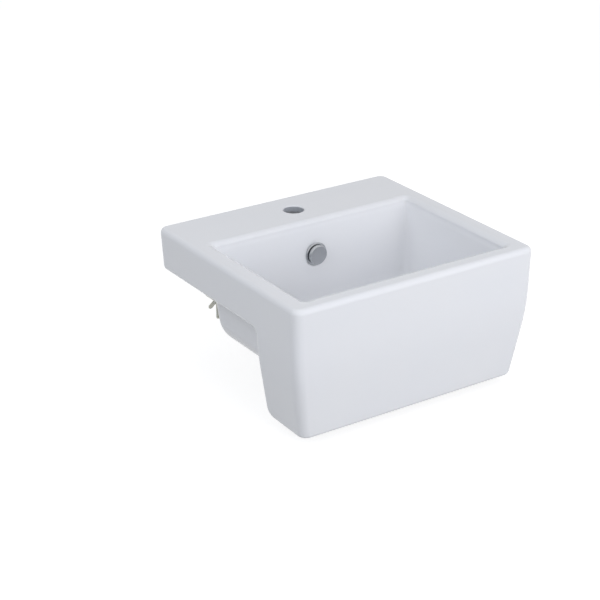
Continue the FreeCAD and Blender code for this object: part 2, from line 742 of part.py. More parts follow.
def waste_body():
    """Flange, funnel, tail with four overflow slots, and the bridge that carries the cartridge."""
    body = on_waste_axis(new_body("waste_body"))
    revolve(body, "waste_turned", [
        (D + "tail_bore", D + "tail_end"),
        (f"{D}thread_radius - {D}tail_chamfer", D + "tail_end"),
        (D + "thread_radius", f"{D}tail_end + {D}tail_chamfer"),
        (D + "thread_radius", D + "relief_foot"),
        (D + "relief_radius", D + "relief_foot"),
        (D + "relief_radius", D + "relief_top"),
        (D + "thread_radius", D + "relief_top"),
        (D + "thread_radius", D + "flange_seat"),
        (D + "flange_radius", D + "flange_seat"),
        (D + "flange_radius", f"{D}flange_top - {D}flange_edge", (D + "flange_edge", 1)),
        (f"{D}flange_radius - {D}flange_edge", D + "flange_top"),
        (f"{D}tail_bore + {D}funnel", D + "flange_top"),
        (D + "tail_bore", D + "throat"),
    ])
    slot_top = f"{D}duct_wall - {D}boss_drop + {D}duct_gap"
    slot = new_sketch(body, "slot_outline", "XZ_Plane")
    rectangle(slot, f"-{D}slot_half", D + "slot_half", f"{slot_top} - {D}duct_gap", slot_top)
    slots = pocket(body, "slots", slot, f"3 * {D}thread_radius", midplane=True)
    around(body, slots, 2)

    hub = new_sketch(body, "hub_circle", "XY_Plane", D + "hub_foot")
    circle(hub, D + "hub_radius")
    pad(body, "hub", hub, f"{D}hub_top - {D}hub_foot")
    spoke = new_sketch(body, "spoke_outline", "XY_Plane", D + "hub_foot")
    rectangle(spoke, f"{D}hub_radius - 1", f"{D}tail_bore + 0.5", f"-{D}spoke_half", D + "spoke_half")
    around(body, pad(body, "spoke", spoke, f"{D}hub_top - {D}hub_foot"), 3)
    seat = new_sketch(body, "cartridge_seat", "XY_Plane", D + "hub_top")
    circle(seat, D + "cartridge_radius")
    pocket(body, "cartridge_hole", seat, f"{D}hub_top - {D}hub_foot")
    return body


def turned(label, corners):
    """A piece that is all one turning on the waste's axis."""
    body = on_waste_axis(new_body(label))
    revolve(body, label + "_turned", corners)
    return body


def ring_piece(label, inner, outer, foot, top):
    return turned(label, [(inner, foot), (outer, foot), (outer, top), (inner, top)])


def cone_washer():
    """Tapered rubber washer, wide under the boss, with a lip that centres it in the waste hole."""
    top = f"-{D}boss_drop"
    return turned("cone_washer", [
        (D + "thread_radius", D + "washer_foot"),
        (f"{D}gasket_radius - 4", D + "washer_foot"),
        (D + "gasket_radius", f"{top} - 3"),
        (D + "gasket_radius", top),
        (D + "waste_hole_radius", top),
        (f"{D}waste_hole_radius - 0.5", f"{top} + 4"),
        (D + "thread_radius", f"{top} + 4"),
    ])


def back_nut():
    """Six-sided nut with a round face under the washers."""
    body = on_waste_axis(new_body("back_nut"))
    flats = new_sketch(body, "nut_hexagon", "XY_Plane", D + "nut_foot")
    corner = f"{D}nut_flats / 2 / cos(30)"
    outline(flats, [(f"{corner} * cos({turn})", f"{corner} * sin({turn})") for turn in range(0, 360, 60)])
    pad(body, "nut_blank", flats, f"{D}friction_foot - {D}nut_foot - {D}nut_face")
    face = new_sketch(body, "nut_face_circle", "XY_Plane", f"{D}friction_foot - {D}nut_face")
    circle(face, D + "nut_face_radius")
    pad(body, "nut_face_disc", face, D + "nut_face")
    beyond = f"({corner} + 1)"
    revolve(body, "nut_chamfer", [
        (D + "nut_face_radius", D + "nut_foot"),
        (beyond, D + "nut_foot"),
        (beyond, f"{D}nut_foot + ({beyond} - {D}nut_face_radius) * tan({D}nut_chamfer)"),
    ], cut=True)
    hole = new_sketch(body, "nut_thread_circle", "XY_Plane", D + "friction_foot")
    circle(hole, D + "thread_radius")
    pocket(body, "nut_thread", hole)
    return body


def plug_cap():
    """Domed cap with a boss for its stem."""
    edge = f"{D}plug_underside + {D}plug_edge"
    crown = f"{D}plug_underside + {D}plug_rise"
    return turned("plug_cap", [
        ("0", f"{D}plug_underside - {D}cap_boss"),
        (D + "cap_boss_radius", f"{D}plug_underside - {D}cap_boss"),
        (D + "cap_boss_radius", D + "plug_underside"),
        (D + "plug_radius", D + "plug_underside"),
        (D + "plug_radius", edge, (D + "dome_radius", 1)),
        ("0", crown),
    ])


def plug_stem():
    """Screwed rod from the cap's boss down into the plunger."""
    return turned("plug_stem", [
        ("0", D + "stem_foot"),
        (D + "stem_radius", D + "stem_foot"),
        (D + "stem_radius", D + "stem_top"),
        ("0", D + "stem_top"),
    ])


def click_housing():
    """Cartridge tube with a lid round the rod, and a hole for the latch pin."""
    body = turned("click_housing", [
        (D + "cartridge_bore", D + "cartridge_foot"),
        (D + "cartridge_radius", D + "cartridge_foot"),
        (D + "cartridge_radius", D + "cartridge_top"),
        (D + "rod_hole", D + "cartridge_top"),
        (D + "rod_hole", D + "lid_foot"),
        (D + "cartridge_bore", D + "lid_foot"),
    ])
    pin = new_sketch(body, "pin_hole_circle", "YZ_Plane")
    circle(pin, D + "pin_radius", "0", D + "pin_height")
    pocket(body, "pin_hole", pin, D + "cartridge_radius", upward=True)
    return body


def click_plunger():
    """Rod and head, bored for the stem, with the track that the latch pin follows."""
    body = turned("click_plunger", [
        ("0", D + "head_foot"),
        (D + "head_radius", D + "head_foot"),
        (D + "head_radius", D + "head_top"),
        (D + "rod_radius", D + "head_top"),
        (D + "rod_radius", D + "rod_top"),
        ("0", D + "rod_top"),
    ])
    stem = new_sketch(body, "stem_hole_circle", "XY_Plane", D + "rod_top")
    circle(stem, D + "stem_radius")
    pocket(body, "stem_hole", stem, f"{D}rod_top - {D}stem_foot")
    track = new_sketch(body, "track_outline", "YZ_Plane", f"{D}rod_radius - 0.3")
    rectangle(track, f"-{D}track_half", D + "track_half", f"{D}head_foot + 1.5", D + "head_top")
    pocket(body, "track", track, D + "head_radius", upward=True)
    return body


def click_end_cap():
    """Cap on the tube's lower end that the spring stands on."""
    spigot = f"{D}cartridge_bore - 0.05"
    return turned("click_end_cap", [
        ("0", f"{D}cartridge_foot - {D}end_flange"),
        (D + "cartridge_radius", f"{D}cartridge_foot - {D}end_flange"),
        (D + "cartridge_radius", D + "cartridge_foot"),
        (spigot, D + "cartridge_foot"),
        (spigot, D + "spring_foot"),
        ("0", D + "spring_foot"),
    ])


def latch_pin():
    """Pin through the tube's wall into the plunger's track."""
    body = on_waste_axis(new_body("latch_pin"))
    end = new_sketch(body, "latch_pin_circle", "YZ_Plane", D + "pin_tip")
    circle(end, D + "pin_radius", "0", D + "pin_height")
    pad(body, "latch_pin_rod", end, f"{D}cartridge_radius - {D}pin_tip")
    return body


def click_spring():
    """Compression spring under the plunger, pressed down as when the plug is shut."""
    wire = size_of(D + "spring_wire") / 2
    middle = size_of(D + "cartridge_bore") - 3 * wire
    foot, top = size_of(D + "spring_foot"), size_of(D + "head_foot")
    turns = size_of(D + "spring_turns")
    rise = top - foot - 2 * wire
    helix = Part.makeHelix(rise / turns, rise, middle)
    section = Part.Wire(Part.makeCircle(wire, Vector(middle, 0, 0), Vector(0, 1, 0)))
    coil = Part.Wire(helix.Edges).makePipeShell([section], True, True)
    spring = document.addObject("Part::Feature", "click_spring")
    spring.Shape = coil
    spring.Placement = Placement(Vector(0, size_of(WASTE_Y), foot + wire), Rotation())
    return spring


# Fixings: an anchor plug and a stud on each side, and the clamp that climbs the stud.

SIDES = (("left", -1), ("right", 1))


def on_both_sides(label, make_one):
    """Two like pieces in one node."""
    pair = []
    for side, sign in SIDES:
        one = make_one(f"{label}_{side}")
        place(one, f"{sign} * {D}anchor_half", TAP_Y)
        pair.append(one)
    both = document.addObject("Part::Compound", label)
    both.Links = pair
    document.recompute()
    return both


def anchor_plug(label):
    """Nylon plug in the boss, with a collar on its face."""
    body = new_body(label)
    foot = D + "anchor_boss_foot"
    revolve(body, label + "_turned", [
        (D + "stud_radius", f"{foot} - {D}collar"),
        (f"{D}anchor_hole_radius + 4", f"{foot} - {D}collar"),
        (f"{D}anchor_hole_radius + 4", foot),
        (D + "anchor_hole_radius", foot),
        (D + "anchor_hole_radius", f"{foot} + {D}anchor_hole_depth - 1"),
        (D + "stud_radius", f"{foot} + {D}anchor_hole_depth - 1"),
    ])
    return body


def fixing_stud(label):
    rod = document.addObject("Part::Cylinder", label)
    rod.setExpression("Radius", D + "stud_radius")
    rod.setExpression("Height", f"{D}stud_top - {D}stud_foot")
    rod.setExpression("Placement.Base.z", D + "stud_foot")
    return rod


PAD_TOP = f"-{D}worktop_thickness"
PAD_FOOT = f"{PAD_TOP} - {D}pad_thickness"
PLATE_FOOT = f"{PAD_FOOT} - {D}sheet - {D}joggle"
WASHER_FOOT = f"{PLATE_FOOT} - {D}clamp_washer_thickness"


def clamp_plate(side, sign):
    """Pressed steel plate, joggled so that its heel stands up under the worktop, slotted for the stud."""
    body = new_body(f"{side}_clamp_plate")
    place(body, f"{sign} * {D}anchor_half", TAP_Y)
    profile = new_sketch(body, f"{side}_plate_profile", "YZ_Plane")
    low, high = PLATE_FOOT, f"{PAD_FOOT} - {D}sheet"
    outline(profile, [
        (f"-{D}plate_nose", low),
        (D + "joggle_start", low),
        (f"{D}joggle_start + {D}joggle_run", high),
        (D + "plate_heel", high),
        (D + "plate_heel", PAD_FOOT),
        (f"{D}joggle_start + {D}joggle_run - 1.5", PAD_FOOT),
        (f"{D}joggle_start - 1.5", f"{low} + {D}sheet"),
        (f"-{D}plate_nose", f"{low} + {D}sheet"),
    ])
    pad(body, f"{side}_plate_sheet", profile, f"2 * {D}plate_half", midplane=True)
    slot = new_sketch(body, f"{side}_plate_slot", "XY_Plane", low)
    gap = f"({D}stud_radius + 0.5)"
    rounded_rectangle(slot, gap, f"-{D}slot_reach", D + "slot_reach", f"{gap} * 0.98")
    pocket(body, f"{side}_plate_hole", slot, f"2 * {D}sheet", upward=True)
    ends = (-size_of(D + "plate_nose"), size_of(D + "plate_heel"))
    fillet(body, body.Tip, f"{side}_plate_corners", D + "plate_round",
           lambda edge: runs_along(edge, Z) and any(lies_at(edge, Y, end) for end in ends))
    return body


def clamp_pad(side, sign):
    """Rubber pad on the plate's heel."""
    body = new_body(f"{side}_clamp_pad")
    place(body, f"{sign} * {D}anchor_half", TAP_Y)
    face = new_sketch(body, f"{side}_pad_outline", "XY_Plane", PAD_FOOT)
    rounded_rectangle(face, f"({D}plate_half - 1)", f"{D}joggle_start + {D}joggle_run + 1",
                      f"{D}plate_heel - 1", D + "pad_round")
    pad(body, f"{side}_pad_block", face, D + "pad_thickness")
    return body


def clamp_washer(side, sign):
    body = new_body(f"{side}_clamp_washer")
    place(body, f"{sign} * {D}anchor_half", TAP_Y)
    revolve(body, f"{side}_washer_turned", [
        (f"{D}stud_radius + 0.4", WASHER_FOOT),
        (D + "clamp_washer_radius", WASHER_FOOT),
        (D + "clamp_washer_radius", PLATE_FOOT),
        (f"{D}stud_radius + 0.4", PLATE_FOOT),
    ])
    return body


def wing_nut(side, sign):
    """Tapered hub with two raked wings."""
    body = new_body(f"{side}_wing_nut")
    place(body, f"{sign} * {D}anchor_half", TAP_Y)
    foot = f"{WASHER_FOOT} - {D}wing_nut_height"
    wings = new_sketch(body, f"{side}_wings_outline", "XZ_Plane")
    outline(wings, [
        (f"-{D}wing_nut_radius", f"{WASHER_FOOT} - 1"),
        (f"-{D}wing_span", f"{foot} - 1"),
        (f"-{D}wing_span", f"{foot} - 5", (D + "wing_round", -1)),
        (f"-{D}wing_span + 6", f"{foot} - 5"),
        (f"-{D}wing_nut_radius + 1", foot),
        (f"{D}wing_nut_radius - 1", foot),
        (f"{D}wing_span - 6", f"{foot} - 5", (D + "wing_round", -1)),
        (D + "wing_span", f"{foot} - 5"),
        (D + "wing_span", f"{foot} - 1"),
        (D + "wing_nut_radius", f"{WASHER_FOOT} - 1"),
    ])
    pad(body, f"{side}_wings", wings, D + "wing_thickness", midplane=True)
    revolve(body, f"{side}_nut_hub", [
        ("0", foot),
        (f"{D}wing_nut_radius - 1", foot),
        (D + "wing_nut_radius", WASHER_FOOT),
        ("0", WASHER_FOOT),
    ])
    hole = new_sketch(body, f"{side}_nut_thread_circle", "XY_Plane", WASHER_FOOT)
    circle(hole, D + "nut_bore")
    pocket(body, f"{side}_nut_thread", hole)
    return body


pieces = [
    basin_body(),
    overflow_ring(),
    overflow_seal(),
    overflow_cover(),
    waste_body(),
    ring_piece("waste_gasket", D + "thread_radius", D + "gasket_radius", D + "gasket_foot",
               D + "flange_seat"),
    cone_washer(),
    ring_piece("friction_washer", D + "thread_radius", f"{D}gasket_radius - 2", D + "friction_foot",
               D + "washer_foot"),
    back_nut(),
    plug_cap(),
    ring_piece("plug_seal", D + "seal_inner", D + "seal_outer", D + "seal_foot", D + "plug_underside"),
    plug_stem(),
    click_housing(),
    click_plunger(),
    click_spring(),
    click_end_cap(),
    latch_pin(),
    on_both_sides("anchor_plugs", anchor_plug),
    on_both_sides("fixing_studs", fixing_stud),
]
for side, sign in SIDES:
    pieces += [clamp_plate(side, sign), clamp_pad(side, sign), clamp_washer(side, sign), wing_nut(side, sign)]

document.recompute()
for item in document.Objects:
    faults = [word for word in item.State if word in ("Invalid", "Error")]
    assert not faults, f"{item.Label}: {faults}"

os.makedirs("parts", exist_ok=True)
for piece in pieces:
    shape = piece.Shape
    assert not shape.isNull() and shape.isValid(), f"{piece.Label} has no sound shape"
    shape.exportStep(f"parts/{piece.Label}.step")
    print(f"{piece.Label}: {shape.Volume / 1000:.1f} cm3, {len(shape.Solids)} solids")
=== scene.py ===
# %% [markdown]
# # A semi recessed basin
# The basin is one white casting that stands on a worktop with its back half let into it, and hangs over
# the worktop's front edge. Through it go a tap hole, an overflow with a chrome cover and a click waste,
# and two clamps hold it down. The CAD model is the frame: every piece here lies where it lies there, in
# metres, with +X to the right, -Y to the front and +Z up.

# %% Load the frame and keep its size
import json
import math
import bmesh
import bpy
import numpy as np
from mathutils import Matrix, Vector


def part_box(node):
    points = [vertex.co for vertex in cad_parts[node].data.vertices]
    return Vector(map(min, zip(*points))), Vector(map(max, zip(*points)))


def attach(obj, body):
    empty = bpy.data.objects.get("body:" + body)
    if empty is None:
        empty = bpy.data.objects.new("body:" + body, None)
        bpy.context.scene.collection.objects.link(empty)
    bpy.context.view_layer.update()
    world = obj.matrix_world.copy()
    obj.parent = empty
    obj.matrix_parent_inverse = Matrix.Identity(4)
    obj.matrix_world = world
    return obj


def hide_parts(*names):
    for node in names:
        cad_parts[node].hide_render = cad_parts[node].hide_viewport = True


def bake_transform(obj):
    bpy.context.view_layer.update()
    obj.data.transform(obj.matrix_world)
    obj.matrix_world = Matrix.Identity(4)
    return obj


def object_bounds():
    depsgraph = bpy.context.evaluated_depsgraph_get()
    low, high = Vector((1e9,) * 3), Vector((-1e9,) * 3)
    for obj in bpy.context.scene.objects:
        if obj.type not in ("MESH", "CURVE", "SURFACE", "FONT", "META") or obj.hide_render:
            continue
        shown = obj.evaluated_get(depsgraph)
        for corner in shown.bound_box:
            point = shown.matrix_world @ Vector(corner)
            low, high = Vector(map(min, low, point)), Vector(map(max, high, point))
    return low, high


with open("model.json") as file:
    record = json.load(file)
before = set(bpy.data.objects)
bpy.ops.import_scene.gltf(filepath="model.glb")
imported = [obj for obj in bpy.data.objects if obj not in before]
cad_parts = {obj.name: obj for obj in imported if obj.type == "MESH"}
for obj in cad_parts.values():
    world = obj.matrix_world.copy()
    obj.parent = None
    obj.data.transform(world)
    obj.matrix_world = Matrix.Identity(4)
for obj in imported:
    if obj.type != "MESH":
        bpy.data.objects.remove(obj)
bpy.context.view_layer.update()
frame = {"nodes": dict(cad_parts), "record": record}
nodes = frame["nodes"]

# %% [markdown]
# ## Small helpers
# Three helpers serve the whole file. Colours are written as sRGB hex, as a paint chart gives them, and
# Blender wants them linear. Materials are built node by node, so one function adds a node with its
# settings and its links. One more opens a new material and hands back its shader.


# %% Colour, node and material helpers
def linear(hex_colour):
    """sRGB hex to the linear RGBA that Blender's sockets hold."""
    channels = [int(hex_colour[i:i + 2], 16) / 255 for i in (1, 3, 5)]
    return [c / 12.92 if c <= 0.04045 else ((c + 0.055) / 1.055) ** 2.4 for c in channels] + [1.0]


def add(tree, kind, settings=(), **links):
    """Adds a node. Settings give its properties, and its inputs by name or number. Links join sockets of
    other nodes to its inputs: i0 is the input of number 0, and a name has _ for a space."""
    node = tree.nodes.new(kind)
    for name, value in dict(settings).items():
        if isinstance(name, int) or name in node.inputs:
            node.inputs[name].default_value = value
        else:
            setattr(node, name, value)
    for name, socket in links.items():
        numbered = name[0] == "i" and name[1:].isdigit()
        target = node.inputs[int(name[1:]) if numbered else name.strip("_").replace("_", " ")]
        tree.links.new(socket, target)
    return node


def new_material(name, **shader):
    """A material with a Principled shader, its tree and the Object coordinates in metres."""
    material = bpy.data.materials.new(name)
    material.use_nodes = True
    tree = material.node_tree
    principled = tree.nodes["Principled BSDF"]
    for key, value in shader.items():
        principled.inputs[key.replace("_", " ")].default_value = value
    place = add(tree, "ShaderNodeTexCoord").outputs["Object"]
    return material, tree, principled, place


print("white china", [round(c, 3) for c in linear("#F2F2F3")])

# %% [markdown]
# ## The camera
# The photograph was taken from the front left, 24 degrees above the horizon and 33 degrees round. The
# place, the three axes and the focal length were solved from the rim's corners and the basin's outlines,
# so the frame of this camera is the photograph's, 600 by 600.

# %% Camera
IMAGE = 600
FOCAL_PIXELS = 1702.92
RIGHT = Vector((0.8324, -0.5542, -0.0011))
DOWN = Vector((-0.2272, -0.3394, -0.9128))
FORWARD = Vector((0.5055, 0.7600, -0.4084))
CAMERA_PLACE = (-1.4621, -2.2634, 1.0937)
SENSOR = 36

camera = bpy.data.objects.new("camera", bpy.data.cameras.new("camera"))
camera.data.sensor_width = SENSOR
camera.data.lens = FOCAL_PIXELS / IMAGE * SENSOR
turn = Matrix((RIGHT, -DOWN, -FORWARD)).transposed()
camera.matrix_world = Matrix.Translation(CAMERA_PLACE) @ turn.to_4x4()
bpy.context.scene.collection.objects.link(camera)
bpy.context.scene.camera = camera
print("lens", round(camera.data.lens, 2), "mm")

# %% [markdown]
# ## Floor, world and lamps
# The photograph is a cut-out on white. The floor lies just under the waste. It shows white to the camera,
# to chrome and through glass by Light Path, and its diffuse part still carries the basin's shadow. To the
# light it is a middle grey, so that it throws little back up at the apron. A dome overhead, brightest at
# the top, fills the bowl. One broad lamp low in front lights the apron, and a weaker one on the left lifts
# the shaded side and the bowl's right wall. Gloss shows the white surroundings and not the lamps, which
# keeps patches of glare off the deck.

# %% Stage and light
FLOOR_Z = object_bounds()[0].z - 0.001
FLOOR_SIZE = 12
FLOOR_GLOW = 0.82
ZENITH_LEVEL = 0.72
WHITE = (1, 1, 1, 1)
MIDDLE = (0, -0.19, -0.03)


def seen(tree):
    """1 for rays from the camera, from gloss and through glass, and 0 for the light that they gather."""
    path = add(tree, "ShaderNodeLightPath")
    either = add(tree, "ShaderNodeMath", {"operation": "MAXIMUM"}, i0=path.outputs["Is Camera Ray"],
                 i1=path.outputs["Is Glossy Ray"])
    return add(tree, "ShaderNodeMath", {"operation": "MAXIMUM"}, i0=either.outputs[0],
               i1=path.outputs["Is Transmission Ray"]).outputs[0]


world = bpy.data.worlds.new("studio")
world.use_nodes = True
tree = world.node_tree
background = tree.nodes["Background"]
up = add(tree, "ShaderNodeSeparateXYZ", Vector=add(tree, "ShaderNodeTexCoord").outputs["Generated"])
level = add(tree, "ShaderNodeMapRange", {"To Max": ZENITH_LEVEL}, i0=up.outputs["Z"])
fill = add(tree, "ShaderNodeBackground", {"Color": linear("#EFF1F6")}, Strength=level.outputs[0])
background.inputs["Color"].default_value = WHITE
background.inputs["Strength"].default_value = 1.0
mix = add(tree, "ShaderNodeMixShader", i0=seen(tree), i1=fill.outputs[0], i2=background.outputs[0])
tree.links.new(mix.outputs[0], tree.nodes["World Output"].inputs["Surface"])
bpy.context.scene.world = world

bpy.ops.mesh.primitive_grid_add(size=FLOOR_SIZE, location=(0, 0, FLOOR_Z))
floor = bpy.context.object
floor.name = "floor"
material = bpy.data.materials.new("pale_floor")
material.use_nodes = True
tree = material.node_tree
tree.nodes.clear()
paper = add(tree, "ShaderNodeBsdfDiffuse", {"Color": linear("#A8A8A8")})
glow = add(tree, "ShaderNodeEmission", {"Color": WHITE, "Strength": FLOOR_GLOW})
lit = add(tree, "ShaderNodeAddShader", i0=paper.outputs[0], i1=glow.outputs[0])
choice = add(tree, "ShaderNodeMixShader", i0=seen(tree), i1=paper.outputs[0], i2=lit.outputs[0])
add(tree, "ShaderNodeOutputMaterial", i0=choice.outputs[0])
floor.data.materials.append(material)


def area_lamp(name, place, size, energy, colour):
    """A square lamp, size in metres and energy in watts, that points at the basin's middle."""
    lamp = bpy.data.lights.new(name, "AREA")
    lamp.size, lamp.energy, lamp.color = size, energy, linear(colour)[:3]
    thing = bpy.data.objects.new(name, lamp)
    thing.location = place
    thing.rotation_euler = (Vector(MIDDLE) - Vector(place)).to_track_quat("-Z", "Y").to_euler()
    thing.visible_glossy = False
    bpy.context.scene.collection.objects.link(thing)


bpy.context.scene.view_settings.view_transform = "Standard"
area_lamp("front_softbox", (0.6, -2.6, 0.5), 2.6, 53.5, "#F8FAFF")
area_lamp("left_softbox", (-2.4, -0.5, 1.3), 2.4, 25, "#F3F8FF")
print("floor at", round(FLOOR_Z, 4))

# %% [markdown]
# ## Glazed vitreous china
# Vitreous china is clay cast in a plaster mould, sprayed with white glaze and fired. The glaze is glass: a
# smooth coat with an IOR near 1.5, a faint ripple about a centimetre long where it ran before it froze,
# and hardly any grain. The foot that stood on the kiln shelf is wiped clean, so there the warm, dull body
# shows. The tap hole is ground to size after firing, so its wall is matt. Its cool grey, darker than ground
# china, is painted shade for the dim inside of the hole. The mask for the foot reads the height and the
# direction of the surface, and the one for the hole the distance from its middle.

# %% Glaze material
SEAT_BAND, FACING_DOWN = 0.0006, -0.97
# The bore's wall, which gets painted shade and a matt finish, is what lies within this reach of its middle.
# The deck round it lies further off.
TAP_HOLE, BORE_REACH = (0.0, -0.046, 0.0611), 0.0192
GLAZE_RIPPLE, RIPPLE_DEPTH = 0.011, 0.0004
CLOUDS_PER_METRE = 9.0
GLAZED, UNGLAZED = 0.2, 0.8

china, tree, shader, place = new_material("glazed_vitreous_china", Roughness=GLAZED, IOR=1.52)
height = add(tree, "ShaderNodeSeparateXYZ", Vector=place)
normal = add(tree, "ShaderNodeSeparateXYZ", Vector=tree.nodes["Texture Coordinate"].outputs["Normal"])
near_seat = add(tree, "ShaderNodeMath", {"operation": "COMPARE", 1: 0.0, 2: SEAT_BAND},
                i0=height.outputs["Z"])
faces_down = add(tree, "ShaderNodeMath", {"operation": "LESS_THAN", 1: FACING_DOWN}, i0=normal.outputs["Z"])
foot = add(tree, "ShaderNodeMath", {"operation": "MULTIPLY"}, i0=near_seat.outputs[0],
           i1=faces_down.outputs[0])
from_hole = add(tree, "ShaderNodeVectorMath", {"operation": "DISTANCE", 1: TAP_HOLE}, i0=place)
bore = add(tree, "ShaderNodeMath", {"operation": "LESS_THAN", 1: BORE_REACH}, i0=from_hole.outputs["Value"])
bare = add(tree, "ShaderNodeMath", {"operation": "MAXIMUM"}, i0=foot.outputs[0], i1=bore.outputs[0])
ripple = add(tree, "ShaderNodeTexNoise", {"Scale": 1 / GLAZE_RIPPLE, "Detail": 1.0}, Vector=place)
bump = add(tree, "ShaderNodeBump", {"Strength": 0.06, "Distance": RIPPLE_DEPTH}, Height=ripple.outputs["Fac"])
tree.links.new(bump.outputs[0], shader.inputs["Normal"])
cloud = add(tree, "ShaderNodeTexNoise", {"Scale": CLOUDS_PER_METRE, "Detail": 2.0}, Vector=place)
shade = add(tree, "ShaderNodeValToRGB", Fac=cloud.outputs["Fac"])
shade.color_ramp.elements[0].color = linear("#F4F5F8")
shade.color_ramp.elements[1].color = linear("#F7F7F8")
foot_colour = add(tree, "ShaderNodeMix", {"data_type": "RGBA", 7: linear("#D8CFBE")}, i0=foot.outputs[0],
                  i6=shade.outputs[0])
# Painted shade: the bore's wall is mixed to a cool grey for the dim inside of the hole; only its matt
# roughness is the real ground finish.
bore_painted_shade = add(tree, "ShaderNodeMix", {"data_type": "RGBA", 7: linear("#B2B5BB")}, i0=bore.outputs[0],
                  i6=foot_colour.outputs[2])
tree.links.new(bore_painted_shade.outputs[2], shader.inputs["Base Color"])
dullness = add(tree, "ShaderNodeMapRange", {"To Min": GLAZED, "To Max": UNGLAZED}, i0=bare.outputs[0])
tree.links.new(dullness.outputs[0], shader.inputs["Roughness"])
print("glaze ripple", GLAZE_RIPPLE * 1000, "mm")

# %% [markdown]
# ## The casting, as one rule
# The casting has soft edges everywhere, inside and out, and walls that blend into each other. Bevels
# would have to cross the notch, the bowl and the lean of the sides, and break where they meet. So it is
# written as a distance rule: for any point in space, how far it is from the china, negative inside.
# Solids are joined and cut by taking the smaller or the larger distance, and a radius in that choice
# rounds the edge between them. Lengths in these cells are in millimetres, as on a drawing.


# %% Joining and cutting by distance
def overlap(a, b, radius):
    """Where two solids overlap, with the outer edge between them rounded."""
    reach = np.hypot(np.maximum(a + radius, 0), np.maximum(b + radius, 0))
    return np.minimum(np.maximum(a, b), -radius) + reach


def joined(a, b, radius):
    """Two solids in one, with the inner corner between them filled to a radius."""
    return -overlap(-a, -b, radius)


def without(solid, hole, radius):
    """A solid with a hole cut out, and the edge of the hole rounded."""
    return overlap(solid, -hole, radius)


print("corner of two faces at -1 mm, radius 2:", round(float(overlap(-1.0, -1.0, 2.0)), 2), "mm")

# %% [markdown]
# The sides and the front stand almost upright by the rim and tuck in below the worktop. The tuck is two
# straight slopes with an even bend between them, so one function serves both, with the lean at the bend
# and the tuck at the foot as its numbers. Behind the apron the worktop fits under the rim, in a notch.

# %% Outside of the casting
HALF_WIDTH, FRONT, BACK = 227.5, -396.0, 14.0
RIM_TOP, APRON_FOOT = 71.0, -154.0
BEND_START, BEND_END = 4.0, -70.0
SIDE_LEAN, SIDE_FOOT_TUCK = 1.6, 22.0
FRONT_LEAN, FRONT_FOOT_TUCK = 0.4, 14.5
BACK_LEAN = 6.0
PANEL_REAR, PANEL_REAR_ROUND, NOTCH_ROUND = -281.2, 18, 12
FOOT_RISE, FOOT_START = 0.025, -382
CORNER_ROUND, RIM_ROUND, FOOT_ROUND = 16, 8.8, 7
SKIRT_WALL, CORE_ROUND = 12.0, 6


def tuck(z, lean, foot_tuck):
    """How far a wall is in from the rim at a height."""
    bend = BEND_START - BEND_END
    above = lean / (RIM_TOP - BEND_START)
    below = (foot_tuck - lean - bend / 2 * above) / (bend / 2 + BEND_END - APRON_FOOT)
    down = np.clip(BEND_START - z, 0, bend)
    upper = above * (RIM_TOP - np.maximum(z, BEND_START) + down)
    return upper + (below - above) * down**2 / (2 * bend) + below * np.maximum(BEND_END - z, 0)


def upright_walls(x, y, z, inset, top, corner_round):
    """Sides, front and back as one ring of walls, open above and below."""
    sides = np.abs(x) - HALF_WIDTH + inset + tuck(z, SIDE_LEAN, SIDE_FOOT_TUCK)
    front = FRONT - y + inset + tuck(z, FRONT_LEAN, FRONT_FOOT_TUCK)
    back = y - BACK + inset + BACK_LEAN * (top - z) / top
    return overlap(overlap(sides, front, corner_round), back, corner_round)


def outside(x, y, z):
    """Rim, skirt to the worktop, and the apron with its side panels in front of the notch."""
    rear_edge = y - PANEL_REAR
    foot_edge = APRON_FOOT - z + FOOT_RISE * (y - FOOT_START)
    panel = overlap(rear_edge, foot_edge, PANEL_REAR_ROUND)
    foot = joined(-z, panel, NOTCH_ROUND)
    rim = overlap(upright_walls(x, y, z, 0, RIM_TOP, CORNER_ROUND), z - RIM_TOP, RIM_ROUND)
    return overlap(rim, foot, FOOT_ROUND)


def hollow(x, y, z):
    """What is taken out from below. It follows the outside, one wall further in."""
    ceiling = RIM_TOP - SKIRT_WALL
    return overlap(upright_walls(x, y, z, SKIRT_WALL, ceiling, CORE_ROUND), z - ceiling, CORE_ROUND)


foot_tuck = float(tuck(APRON_FOOT, SIDE_LEAN, SIDE_FOOT_TUCK))
print("a side is in by", round(foot_tuck, 2), "mm at the foot")

# %% [markdown]
# The bowl is a rounded rectangle whose size changes with depth. Five levels hold its back, front, half
# width and corner radius, and a smooth curve through them fills in the depths between. Its floor falls
# to the waste like a very shallow cone. The same rule with a wall added gives the shell that is seen
# from below.

# %% The bowl
DEPTHS = np.array([-6.0, 22.0, 45.0, 95.0, 148.0])
BOWL = {
    "back": (115.4, 120.6, 125.0, 129.4, 131.2),
    "front": (378, 375.6, 374.8, 373, 371.3),
    "half": (191.5, 189.5, 188, 186.3, 184.8),
    "corner": (5, 5, 6, 11, 27),
}
BOWL_FLOOR = RIM_TOP - DEPTHS[-1]
FLOOR_ROUND = 24
FALL, FALL_START, RECESS_RADIUS = 4, 108, 33.5
BOWL_WALL, SHELL_ROUND, SHELL_TOP = 11, 35, RIM_TOP - 6
WASTE_Y, TAP_Y, ANCHOR_X = -236.0, -46.0, 150.0


def at_depth(depth, values):
    """A smooth curve through the values at the levels."""
    values = np.array(values, float)
    slope = np.gradient(values, DEPTHS)
    depth = np.clip(depth, DEPTHS[0], DEPTHS[-1])
    i = np.clip(np.searchsorted(DEPTHS, depth) - 1, 0, len(DEPTHS) - 2)
    gap = np.diff(DEPTHS)[i]
    t = (depth - DEPTHS[i]) / gap
    ease = t * t * (3 - 2 * t)
    start = t * (1 - t) ** 2 * gap * slope[i]
    end = t * t * (1 - t) * gap * slope[i + 1]
    return values[i] * (1 - ease) + values[i + 1] * ease + start - end


